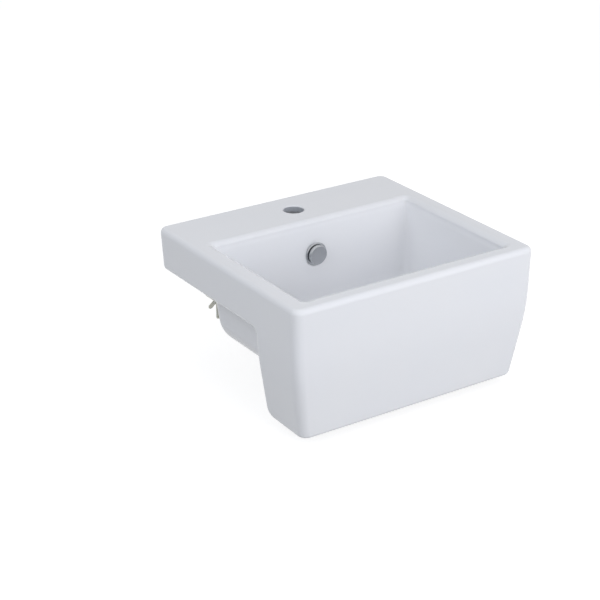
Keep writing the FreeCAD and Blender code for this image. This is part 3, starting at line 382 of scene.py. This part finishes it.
def bowl_walls(x, y, z, wall=0.0):
    """A rounded rectangle at every depth, larger all round by a wall."""
    back, front, half, corner = (at_depth(RIM_TOP - z, BOWL[key]) for key in BOWL)
    corner = corner + wall
    across = np.abs(x) - half - wall + corner
    along = np.abs(y - BACK + (back + front) / 2) - (front - back) / 2 - wall + corner
    round_part = np.hypot(np.maximum(across, 0), np.maximum(along, 0))
    return round_part + np.minimum(np.maximum(across, along), 0) - corner


def bowl(x, y, z):
    """The space that holds water."""
    to_recess = (FALL_START - np.hypot(x, y - WASTE_Y)) / (FALL_START - RECESS_RADIUS)
    fall = FALL * np.clip(to_recess, 0, 1)
    return overlap(bowl_walls(x, y, z), BOWL_FLOOR - fall - z, FLOOR_ROUND)


def bowl_shell(x, y, z):
    """That space and the china round it."""
    below = overlap(bowl_walls(x, y, z, BOWL_WALL), BOWL_FLOOR - BOWL_WALL - z, SHELL_ROUND)
    return np.maximum(below, z - SHELL_TOP)


print("bowl half width 60 mm down:", round(float(at_depth(60.0, BOWL["half"])), 1), "mm")

# %% [markdown]
# What is left are blocks and discs: the channel that brings overflow water down behind the bowl and
# under its floor, the boss round the waste, the bosses that take the fixings, and the holes. Each is
# joined or cut with the small radius that a mould leaves.


# %% Bosses, channel and holes
CHANNEL_BACK, CHANNEL_FRONT = -90, -102
CHANNEL_FOOT, CHANNEL_CEILING, CHANNEL_TOP = -104, -92, 31
CHANNEL_HALF, CHANNEL_BEND, CHANNEL_EDGE = 20, 3, 2.5
CHANNEL_WALL, WALL_TO_BOWL = 8, 6
OVERFLOW_Z, OVERFLOW_SEAT_Y = 14.0, -112.6
LIP_ROUND, WIDER_AT_SIDES = 9, 3
SIDE_LIP_START, SIDE_LIP_WIDTH = 168, 24
CRISP, SOFT = 0.5, 2

# Radius, low end and high end of each disc. The overflow's two run to the front, the others upwards.
WASTE_BOSS, ANCHOR_BOSS = (36, -112, -80), (17, 36, 65)
WASTE_RECESS, WASTE_HOLE = (RECESS_RADIUS, -84, -70), (23, -120, -70)
OVERFLOW_FLAT, OVERFLOW_HOLE = (20.5, -OVERFLOW_SEAT_Y, 122.6), (13, 96, 126)
ANCHOR_HOLE, TAP_BORE, TAP_EDGE = (7, 30, 56), (17.5, 50, 90), 1.5


def channel(x, y, z, wall, inner):
    """The overflow's way down behind the bowl and forward to the waste, or with a wall what holds it."""
    bend = overlap(y - CHANNEL_BACK - wall, CHANNEL_FOOT - wall - z, CHANNEL_BEND + wall)
    arms = np.minimum(CHANNEL_FRONT - inner - y, z - CHANNEL_CEILING - inner)
    side_view = np.maximum.reduce([bend, arms, z - CHANNEL_TOP - wall, WASTE_Y - y])
    return overlap(side_view, np.abs(x) - CHANNEL_HALF - wall, CHANNEL_EDGE + wall / 2)


def disc(away, along, size, edge):
    """A round solid: away from its axis up to a radius, and along it from a low to a high end."""
    radius, low, high = size
    return overlap(away - radius, np.maximum(low - along, along - high), edge)


def casting(x, y, z):
    """The whole casting's distance rule. The last number of each join or cut is its rounding."""
    waste = np.hypot(x, y - WASTE_Y)
    anchor = np.hypot(np.abs(x) - ANCHOR_X, y - TAP_Y)
    overflow = np.hypot(x, z - OVERFLOW_Z)
    tap = np.hypot(x, y - TAP_Y)
    solid = without(outside(x, y, z), hollow(x, y, z), 2.5)
    solid = joined(solid, bowl_shell(x, y, z), 6)
    solid = joined(solid, disc(waste, z, WASTE_BOSS, SOFT), 5)
    solid = joined(solid, channel(x, y, z, CHANNEL_WALL, WALL_TO_BOWL), 5)
    solid = joined(solid, disc(anchor, z, ANCHOR_BOSS, SOFT), 4)
    side_lip = np.clip((np.abs(x) - SIDE_LIP_START) / SIDE_LIP_WIDTH, 0, 1)
    solid = without(solid, bowl(x, y, z), LIP_ROUND + WIDER_AT_SIDES * side_lip)
    holes = np.minimum.reduce([
        disc(waste, z, WASTE_RECESS, CRISP),
        disc(waste, z, WASTE_HOLE, CRISP),
        disc(overflow, -y, OVERFLOW_FLAT, CRISP),
        disc(overflow, -y, OVERFLOW_HOLE, CRISP),
        channel(x, y, z, 0, 0),
        disc(anchor, z, ANCHOR_HOLE, CRISP),
    ])
    solid = without(solid, holes, 0.8)
    return without(solid, disc(tap, z, TAP_BORE, 0.1), TAP_EDGE)


print("inside the deck beside the tap hole:", round(float(casting(30.0, TAP_Y, 65.0)), 2), "mm from a face")

# %% [markdown]
# A grid of points now asks the rule for its distance. Every grid cell that the surface crosses gets one
# vertex, at the middle of its crossings, and each grid edge that it crosses joins four of them in a
# quad. That is the method called surface nets.


# %% From the rule to a net of quads
def sample(field, low, high, step):
    """Distances on a grid, and the grid's three axes."""
    axes = [np.arange(low[i] - 1.5 * step, high[i] + 1.5 * step, step) for i in range(3)]
    y, z = np.meshgrid(axes[1], axes[2], indexing="ij")
    return np.stack([field(x, y, z) for x in axes[0]]), axes


CORNERS = np.array([(a, b, c) for a in (0, 1) for b in (0, 1) for c in (0, 1)])


def net_points(values, cells):
    """The middle of the places where the surface crosses each cell's twelve edges, in cells."""
    at = cells[:, None, :] + CORNERS
    value = values[at[..., 0], at[..., 1], at[..., 2]]
    total, hits = np.zeros((len(cells), 3)), np.zeros(len(cells))
    for start, corner in enumerate(CORNERS):
        for axis in np.flatnonzero(corner == 0):
            end = start + (4, 2, 1)[axis]
            crossed = (value[:, start] < 0) != (value[:, end] < 0)
            share = value[crossed, start] / (value[crossed, start] - value[crossed, end])
            total[crossed] += corner
            total[crossed, axis] += share
            hits[crossed] += 1
    return cells + total / hits[:, None]


def net_quads(inside, number):
    """One quad for each grid edge that the surface crosses, turned to face outwards."""
    quads = []
    for axis, (u, v) in enumerate(((1, 2), (2, 0), (0, 1))):
        before = np.take(inside, range(inside.shape[axis] - 1), axis)
        after = np.take(inside, range(1, inside.shape[axis]), axis)
        edges = np.argwhere(before != after)
        outward = before[tuple(edges.T)]
        ring = []
        for back_u, back_v in ((0, 0), (1, 0), (1, 1), (0, 1)):
            cell = edges.copy()
            cell[:, u] -= back_u
            cell[:, v] -= back_v
            ring.append(number[tuple(cell.T)])
        ring = np.stack(ring, 1)
        ring[~outward] = ring[~outward, ::-1]
        quads.append(ring)
    return np.concatenate(quads)


def surface_net(field, low, high, step):
    """Points and quads of the surface inside a box, from cells that have corners on both sides of it."""
    values, axes = sample(field, low, high, step)
    inside = values < 0
    count = sum(np.lib.stride_tricks.sliding_window_view(inside, (2, 2, 2))[..., a, b, c].astype(np.int8)
                for a, b, c in CORNERS)
    cells = np.argwhere((count > 0) & (count < 8))
    number = np.full(count.shape, -1, np.int32)
    number[tuple(cells.T)] = np.arange(len(cells))
    origin = np.array([axis[0] for axis in axes])
    return origin + net_points(values, cells) * step, net_quads(inside, number)


GRID_STEP = 2.4
net, quads = surface_net(casting, (-HALF_WIDTH, FRONT, APRON_FOOT), (HALF_WIDTH, BACK, RIM_TOP), GRID_STEP)
print(len(net), "points and", len(quads), "quads at", GRID_STEP, "mm")

# %% [markdown]
# The net lies near the surface, not on it. Each point is moved along the slope of the rule until its
# distance is zero. Then Decimate takes faces out where the china is flat, the points are moved on once
# more, and the same slope gives each vertex its exact normal. That is what keeps the glaze's
# reflections smooth, however the triangles lie.


# %% Onto the surface, thinned, with exact normals
def slope(field, points, gap=0.02):
    """How fast the distance grows along each axis, which points out of the surface."""
    parts = []
    for axis in np.eye(3) * gap:
        parts.append((field(*(points + axis).T) - field(*(points - axis).T)) / (2 * gap))
    return np.stack(parts, 1)


def onto(field, points, rounds, longest=1.5, least_slope=0.25):
    """Points moved along the slope until they lie on the surface. A step has a longest length."""
    for _ in range(rounds):
        steepness = slope(field, points)
        size = np.maximum((steepness**2).sum(1, keepdims=True), least_slope)
        points = points - np.clip(field(*points.T)[:, None] * steepness / size, -longest, longest)
    return points


def mesh_from(name, points, faces):
    """A mesh from numpy arrays, points in millimetres."""
    mesh = bpy.data.meshes.new(name)
    mesh.vertices.add(len(points))
    mesh.vertices.foreach_set("co", (points / 1000).astype(np.float32).ravel())
    mesh.loops.add(faces.size)
    mesh.loops.foreach_set("vertex_index", faces.astype(np.int32).ravel())
    mesh.polygons.add(len(faces))
    mesh.polygons.foreach_set("loop_start", np.arange(0, faces.size, faces.shape[1], dtype=np.int32))
    mesh.update(calc_edges=True)
    return mesh


def baked(thing):
    """The object's mesh with its modifiers applied, in place of the old one."""
    graph = bpy.context.evaluated_depsgraph_get()
    mesh = bpy.data.meshes.new_from_object(thing.evaluated_get(graph))
    thing.modifiers.clear()
    thing.data = mesh
    return thing


def show(name, mesh, material):
    """An object at the origin with one material."""
    thing = bpy.data.objects.new(name, mesh)
    bpy.context.scene.collection.objects.link(thing)
    mesh.materials.clear()
    mesh.materials.append(material)
    return thing


KEPT_FACES = 0.42
china_casting = show("china_casting", mesh_from("china_casting", onto(casting, net, 3), quads), china)
china_casting.modifiers.new("thin", "DECIMATE").ratio = KEPT_FACES
baked(china_casting)
mesh = china_casting.data
points = np.empty(len(mesh.vertices) * 3, np.float32)
mesh.vertices.foreach_get("co", points)
points = onto(casting, points.reshape(-1, 3).astype(float) * 1000, 2)
points = np.clip(points, *(np.array(corner) * 1000 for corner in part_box("basin_body")))
mesh.vertices.foreach_set("co", (points / 1000).astype(np.float32).ravel())
normals = slope(casting, points)
normals /= np.linalg.norm(normals, axis=1, keepdims=True)
mesh.shade_smooth()
mesh.normals_split_custom_set_from_vertices(normals)
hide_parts("basin_body")
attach(china_casting, "basin")
print("casting", len(mesh.vertices), "vertices, furthest off the rule",
      round(float(np.abs(casting(*points.T)).max()), 3), "mm")

# %% [markdown]
# ## Metals, rubber and plastics
# Chrome plate is a mirror with a faint polishing haze and shallow waves. The same plate on rough-turned
# brass is a little duller. Zinc-plated steel is grey with a straw and blue cast from its passivation, in
# patches a few millimetres wide. Moulded rubber is nearly black and dull, with a fine tooth. Nylon and
# acetal are waxy and let some light in. A metal's IOR is left at its default.


# %% Metals
def metal(name, colour, roughness, haze, grain):
    """A metal whose roughness wanders by a little over patches of one size, in metres."""
    material, tree, shader, place = new_material(name, Base_Color=linear(colour), Metallic=1.0)
    patches = add(tree, "ShaderNodeTexNoise", {"Scale": 1 / grain, "Detail": 3.0}, Vector=place)
    spread = add(tree, "ShaderNodeMapRange", {"To Min": roughness - haze, "To Max": roughness + haze},
                 i0=patches.outputs["Fac"])
    tree.links.new(spread.outputs[0], shader.inputs["Roughness"])
    return material, tree, shader, patches


chrome, tree, shader, patches = metal("chrome_plate", "#C4C6C9", 0.12, 0.05, 0.003)
wave = add(tree, "ShaderNodeBump", {"Strength": 0.5, "Distance": 0.0001}, Height=patches.outputs["Fac"])
tree.links.new(wave.outputs[0], shader.inputs["Normal"])
plated_brass = metal("plated_turned_brass", "#CBCBCB", 0.17, 0.05, 0.003)[0]
spring_steel = metal("drawn_spring_steel", "#A6A9AE", 0.28, 0.06, 0.0015)[0]

zinc_steel, tree, shader, patches = metal("zinc_plated_steel", "#B4B8BC", 0.36, 0.08, 0.005)
cast = add(tree, "ShaderNodeValToRGB", Fac=patches.outputs["Fac"])
cast.color_ramp.elements[0].color = linear("#AEB6C2")
cast.color_ramp.elements[1].color = linear("#C6C0A4")
tree.links.new(cast.outputs[0], shader.inputs["Base Color"])
print("metals", [m.name for m in (chrome, plated_brass, spring_steel, zinc_steel)])


# %% Rubber, nylon and acetal
def moulded(name, colour, roughness, tooth, depth, **values):
    """A moulded surface with a fine tooth of one size, in metres."""
    material, tree, shader, place = new_material(
        name, Base_Color=linear(colour), Roughness=roughness, **values)
    grain = add(tree, "ShaderNodeTexNoise", {"Scale": 1 / tooth, "Detail": 2.0}, Vector=place)
    bump = add(tree, "ShaderNodeBump", {"Strength": 0.5, "Distance": depth}, Height=grain.outputs["Fac"])
    tree.links.new(bump.outputs[0], shader.inputs["Normal"])
    return material


rubber = moulded("moulded_rubber", "#1C1C1E", 0.6, 0.0012, 0.0001, IOR=1.52)
nylon = moulded("moulded_nylon", "#8C8F93", 0.42, 0.002, 0.00005, IOR=1.53, Subsurface_Weight=0.05)
acetal = moulded("moulded_acetal", "#E6E6E1", 0.28, 0.003, 0.00004, IOR=1.48, Subsurface_Weight=0.08)
print("plastics", [m.name for m in (rubber, nylon, acetal)])

# %% [markdown]
# ## Small parts, finished from their solids
# Rings, washers, nuts and plates already have their shape in the frame. Their solids come as loose
# triangles with knife edges, though, and real ones are broken by a tumble or a moulding radius. So a copy
# is merged, its flat faces are dissolved to single faces, and Bevel breaks the edges by a few tenths of a
# millimetre, with hardened normals so that flats stay flat. A row of the list below gives the node, its
# material, the record's slot and the width of its broken edge in millimetres. The plug's cap is a shallow
# dome, nearly flat at its top, so it gets a finer limit and keeps its rings. The spring stands in the
# basin's body and lifts the plug's, so it is attached to neither and keeps its place in its vertices.

# %% Merge, dissolve and break the edges
BODIES = frame["record"]["behaviour"]["bodies"]
SAME_POINT = 2e-6
SHARP = math.radians(28)
FLAT, DOME_FLAT = math.radians(0.5), math.radians(0.01)


def finished(node, material, edge):
    """Replaces a CAD node by a copy with broken edges. The edge is in millimetres."""
    mesh = nodes[node].data.copy()
    soft = bmesh.new()
    soft.from_mesh(mesh)
    bmesh.ops.remove_doubles(soft, verts=soft.verts, dist=SAME_POINT)
    flat = DOME_FLAT if node == "plug_cap" else FLAT
    bmesh.ops.dissolve_limit(soft, angle_limit=flat, verts=soft.verts, edges=soft.edges)
    soft.to_mesh(mesh)
    soft.free()
    thing = show(node + "_finished", mesh, material)
    mesh.shade_smooth()
    mesh.set_sharp_from_angle(angle=SHARP)
    if edge:
        bevel = thing.modifiers.new("broken_edges", "BEVEL")
        bevel.width, bevel.segments = edge / 1000, 2
        bevel.limit_method, bevel.angle_limit = "ANGLE", SHARP
        bevel.harden_normals = True
        baked(thing)
    body = next(name for name, members in BODIES.items() if node in members)
    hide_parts(node)
    if node == "click_spring":
        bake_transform(thing)
    else:
        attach(thing, body)
    return thing


PARTS = [
    ("overflow_ring", chrome, "chrome_plate", 0.2),
    ("overflow_cover", chrome, "chrome_plate", 0.2),
    ("overflow_seal", rubber, "black_rubber", 0),
    ("waste_gasket", rubber, "black_rubber", 0.3),
    ("cone_washer", rubber, "black_rubber", 0.5),
    ("friction_washer", nylon, "grey_nylon", 0.3),
    ("back_nut", plated_brass, "plated_brass", 0.6),
    ("plug_cap", chrome, "chrome_plate", 0.25),
    ("plug_seal", rubber, "black_rubber", 0.4),
    ("plug_stem", plated_brass, "plated_brass", 0.2),
    ("click_housing", acetal, "white_acetal", 0.2),
    ("click_plunger", acetal, "white_acetal", 0.2),
    ("click_spring", spring_steel, "spring_steel", 0),
    ("click_end_cap", acetal, "white_acetal", 0.2),
    ("latch_pin", spring_steel, "spring_steel", 0.1),
    ("anchor_plugs", nylon, "grey_nylon", 0.3),
]
for side in ("left", "right"):
    PARTS += [
        (f"{side}_clamp_plate", zinc_steel, "zinc_steel", 0.4),
        (f"{side}_clamp_pad", rubber, "black_rubber", 0.6),
        (f"{side}_clamp_washer", zinc_steel, "zinc_steel", 0.2),
        (f"{side}_wing_nut", zinc_steel, "zinc_steel", 0.5),
    ]
made = {}
for node, material, slot, edge in PARTS:
    made[node] = finished(node, material, edge)
    print(made[node].name, len(made[node].data.polygons), "faces")

# %% [markdown]
# The overflow's cover is pressed from sheet, and its edge is turned back towards the ring. That leaves a
# narrow gap for the water where a flat disc would leave a wide one. Its section is a few points, set in
# rings round the overflow's axis.


# %% The turned edge of the overflow's cover
CREASE = math.radians(50)


def one_object(name, things):
    """Joins meshes into the first object."""
    with bpy.context.temp_override(active_object=things[0], selected_editable_objects=things):
        bpy.ops.object.join()
    things[0].name = name
    return things[0]


def lathe(name, section, centre, material, sides=96):
    """A closed section of (radius, height) turned round an axis that points to the front, in millimetres."""
    turn = np.arange(sides) * 2 * math.pi / sides
    rings = []
    for radius, height in section:
        x, z = centre[0] + radius * np.cos(turn), centre[2] + radius * np.sin(turn)
        rings.append(np.stack([x, np.full(sides, centre[1] - height), z], 1))
    index = np.arange(len(section) * sides).reshape(len(section), sides)
    after, beside = np.roll(index, -1, 0), np.roll(index, -1, 1)
    faces = np.stack([index, after, np.roll(after, -1, 1), beside], -1).reshape(-1, 4)
    thing = show(name, mesh_from(name, np.concatenate(rings), faces), material)
    thing.data.shade_smooth()
    thing.data.set_sharp_from_angle(angle=CREASE)
    return thing


OVERFLOW_SEAT = (0.0, OVERFLOW_SEAT_Y, OVERFLOW_Z)
RING_THICKNESS = 2.5
COVER_RADIUS, COVER_STANDOFF = 17.0, 5.5
SHEET, TURNED_EDGE, CHAMFER = 1.2, 1.7, 0.4
INNER_RADIUS, EDGE_FOOT = COVER_RADIUS - SHEET, COVER_STANDOFF - TURNED_EDGE
edge_section = [
    (INNER_RADIUS, COVER_STANDOFF + CHAMFER),
    (COVER_RADIUS, COVER_STANDOFF + CHAMFER),
    (COVER_RADIUS, EDGE_FOOT + CHAMFER),
    (COVER_RADIUS - CHAMFER, EDGE_FOOT),
    (INNER_RADIUS + CHAMFER, EDGE_FOOT),
    (INNER_RADIUS, EDGE_FOOT + CHAMFER),
]
turned_edge = lathe("turned_edge", edge_section, OVERFLOW_SEAT, chrome)
one_object("overflow_cover_finished", [made["overflow_cover"], turned_edge])
print("gap under the cover:", round(EDGE_FOOT - RING_THICKNESS, 2), "mm")

# %% [markdown]
# ## Threads with Geometry Nodes
# A thread repeats every pitch along a rod and climbs as it goes round, so it is a rule for a node tree.
# The tree takes a cylinder with many rings and moves each point inwards by a wave of its height and its
# angle. Radius, length, pitch and depth are inputs, so one tree makes the studs and the waste's tail,
# and a bore can be cut out of it.


# %% The thread tree
INPUTS = {
    "NodeSocketFloat": ("Radius", "Length", "Pitch", "Depth", "Bore"),
    "NodeSocketInt": ("Sides", "Rings"),
    "NodeSocketMaterial": ("Finish",),
}


def thread_tree():
    """The node tree of a threaded rod that stands on its middle, in metres."""
    tree = bpy.data.node_groups.new("threaded_rod", "GeometryNodeTree")
    for kind, names in INPUTS.items():
        for name in names:
            tree.interface.new_socket(name, in_out="INPUT", socket_type=kind)
    tree.interface.new_socket("Mesh", in_out="OUTPUT", socket_type="NodeSocketGeometry")
    sizes = add(tree, "NodeGroupInput").outputs

    def maths(operation, a, b=None, value=None):
        """One Math node, on a socket alone, on two sockets, or on a socket and a number."""
        links = {"i0": a} if b is None else {"i0": a, "i1": b}
        settings = {"operation": operation} if value is None else {"operation": operation, 1: value}
        return add(tree, "ShaderNodeMath", settings, **links).outputs[0]

    rod = add(tree, "GeometryNodeMeshCylinder", Vertices=sizes["Sides"], Side_Segments=sizes["Rings"],
              Radius=sizes["Radius"], Depth=sizes["Length"])
    place = add(tree, "ShaderNodeSeparateXYZ", Vector=add(tree, "GeometryNodeInputPosition").outputs[0])
    turn = maths("DIVIDE", maths("ARCTAN2", place.outputs["Y"], place.outputs["X"]), value=2 * math.pi)
    phase = maths("SUBTRACT", maths("DIVIDE", place.outputs["Z"], sizes["Pitch"]), turn)
    wave = maths("PINGPONG", phase, value=0.5)
    half_length = maths("MULTIPLY", sizes["Length"], value=0.5)
    to_end = maths("SUBTRACT", half_length, maths("ABSOLUTE", place.outputs["Z"]))
    ended = maths("LESS_THAN", to_end, sizes["Pitch"])
    deepest = maths("MAXIMUM", wave, maths("MULTIPLY", ended, value=0.5))
    groove = maths("MULTIPLY", maths("MULTIPLY", deepest, value=2.0), sizes["Depth"])
    share = maths("DIVIDE", maths("SUBTRACT", sizes["Radius"], groove), sizes["Radius"])
    flat = add(tree, "ShaderNodeCombineXYZ", X=maths("MULTIPLY", place.outputs["X"], share),
               Y=maths("MULTIPLY", place.outputs["Y"], share), Z=place.outputs["Z"])
    cut = add(tree, "GeometryNodeSetPosition", Geometry=rod.outputs["Mesh"], Position=flat.outputs[0])
    core = add(tree, "GeometryNodeMeshCylinder", {"Vertices": 64}, Radius=sizes["Bore"],
               Depth=maths("ADD", sizes["Length"], value=0.01))
    tube = add(tree, "GeometryNodeMeshBoolean", {"operation": "DIFFERENCE"}, i0=cut.outputs[0],
               i1=core.outputs["Mesh"])
    hollow_rod = maths("GREATER_THAN", sizes["Bore"], value=0.0)
    whole = add(tree, "GeometryNodeSwitch", {"input_type": "GEOMETRY"}, Switch=hollow_rod,
                False_=cut.outputs[0], True_=tube.outputs[0])
    real = add(tree, "GeometryNodeRealizeInstances", Geometry=whole.outputs[0])
    painted = add(tree, "GeometryNodeSetMaterial", Geometry=real.outputs[0], Material=sizes["Finish"])
    add(tree, "NodeGroupOutput", i0=painted.outputs[0])
    return tree


THREADED_ROD = thread_tree()
print("thread tree", len(THREADED_ROD.nodes), "nodes")

# %% [markdown]
# The studs are M8 with a pitch of 1.25 mm. The waste's tail is a G 1 1/4 pipe thread, 11 to the inch,
# which is 2.309 mm. Crests lie at the solids' radius, so nuts and washers still fit.


# %% Rods from the tree
def threaded(name, sizes, material, place):
    """One threaded rod from the tree, as a plain mesh with its place in its vertices."""
    thing = show(name, bpy.data.meshes.new(name), material)
    thread = thing.modifiers.new("thread", "NODES")
    thread.node_group = THREADED_ROD
    sockets = {item.name: item.identifier for item in THREADED_ROD.interface.items_tree}
    for key, value in {**sizes, "Finish": material}.items():
        thread[sockets[key]] = value
    baked(thing)
    thing.data.transform(Matrix.Translation(place))
    thing.data.shade_smooth()
    thing.data.set_sharp_from_angle(angle=CREASE)
    return thing


low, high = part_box("fixing_studs")
stud_length = high.z - low.z
M8_RADIUS, M8_PITCH, M8_DEPTH = 0.004, 0.00125, 0.00068
M8_RINGS_PER_TURN = 5
stud_sizes = {"Radius": M8_RADIUS, "Length": stud_length, "Pitch": M8_PITCH, "Depth": M8_DEPTH, "Bore": 0.0,
              "Sides": 24, "Rings": int(stud_length / M8_PITCH * M8_RINGS_PER_TURN)}
rods = []
for sign in (-1, 1):
    middle = (sign * ANCHOR_X / 1000, TAP_Y / 1000, (low.z + high.z) / 2)
    rods.append(threaded("stud", stud_sizes, zinc_steel, middle))
studs = one_object("m8_studs", rods)
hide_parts("fixing_studs")
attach(studs, "basin")
print("studs", round(stud_length * 1000), "mm long,", len(studs.data.polygons), "faces")

# %% [markdown]
# The waste keeps its solid's upper half, which has the flange, the overflow slots and the bridge. Just
# inside the back nut its plain tail gives way to a threaded tube from the tree.

# %% Waste with a threaded tail
INSIDE_NUT = 0.003
JOIN_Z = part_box("back_nut")[0].z + INSIDE_NUT
waste = finished("waste_body", plated_brass, 0.3)
upper = bmesh.new()
upper.from_mesh(waste.data)
everything = upper.verts[:] + upper.edges[:] + upper.faces[:]
bmesh.ops.bisect_plane(upper, geom=everything, plane_co=(0, 0, JOIN_Z), plane_no=(0, 0, -1), clear_outer=True)
upper.to_mesh(waste.data)
upper.free()
tail_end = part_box("waste_body")[0].z
G_RADIUS, G_BORE, G_PITCH, G_DEPTH = 0.02095, 0.017, 0.002309, 0.00125
G_RINGS_PER_TURN = 6
tail_length = JOIN_Z - tail_end
tail_sizes = {"Radius": G_RADIUS, "Length": tail_length, "Pitch": G_PITCH, "Depth": G_DEPTH, "Bore": G_BORE,
              "Sides": 96, "Rings": int(tail_length / G_PITCH * G_RINGS_PER_TURN)}
tail = threaded("waste_thread", tail_sizes, plated_brass, (0, WASTE_Y / 1000, (JOIN_Z + tail_end) / 2))
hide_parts("waste_body")
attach(tail, "basin")
print("tail", round(tail_length * 1000, 1), "mm,", len(tail.data.polygons), "faces")
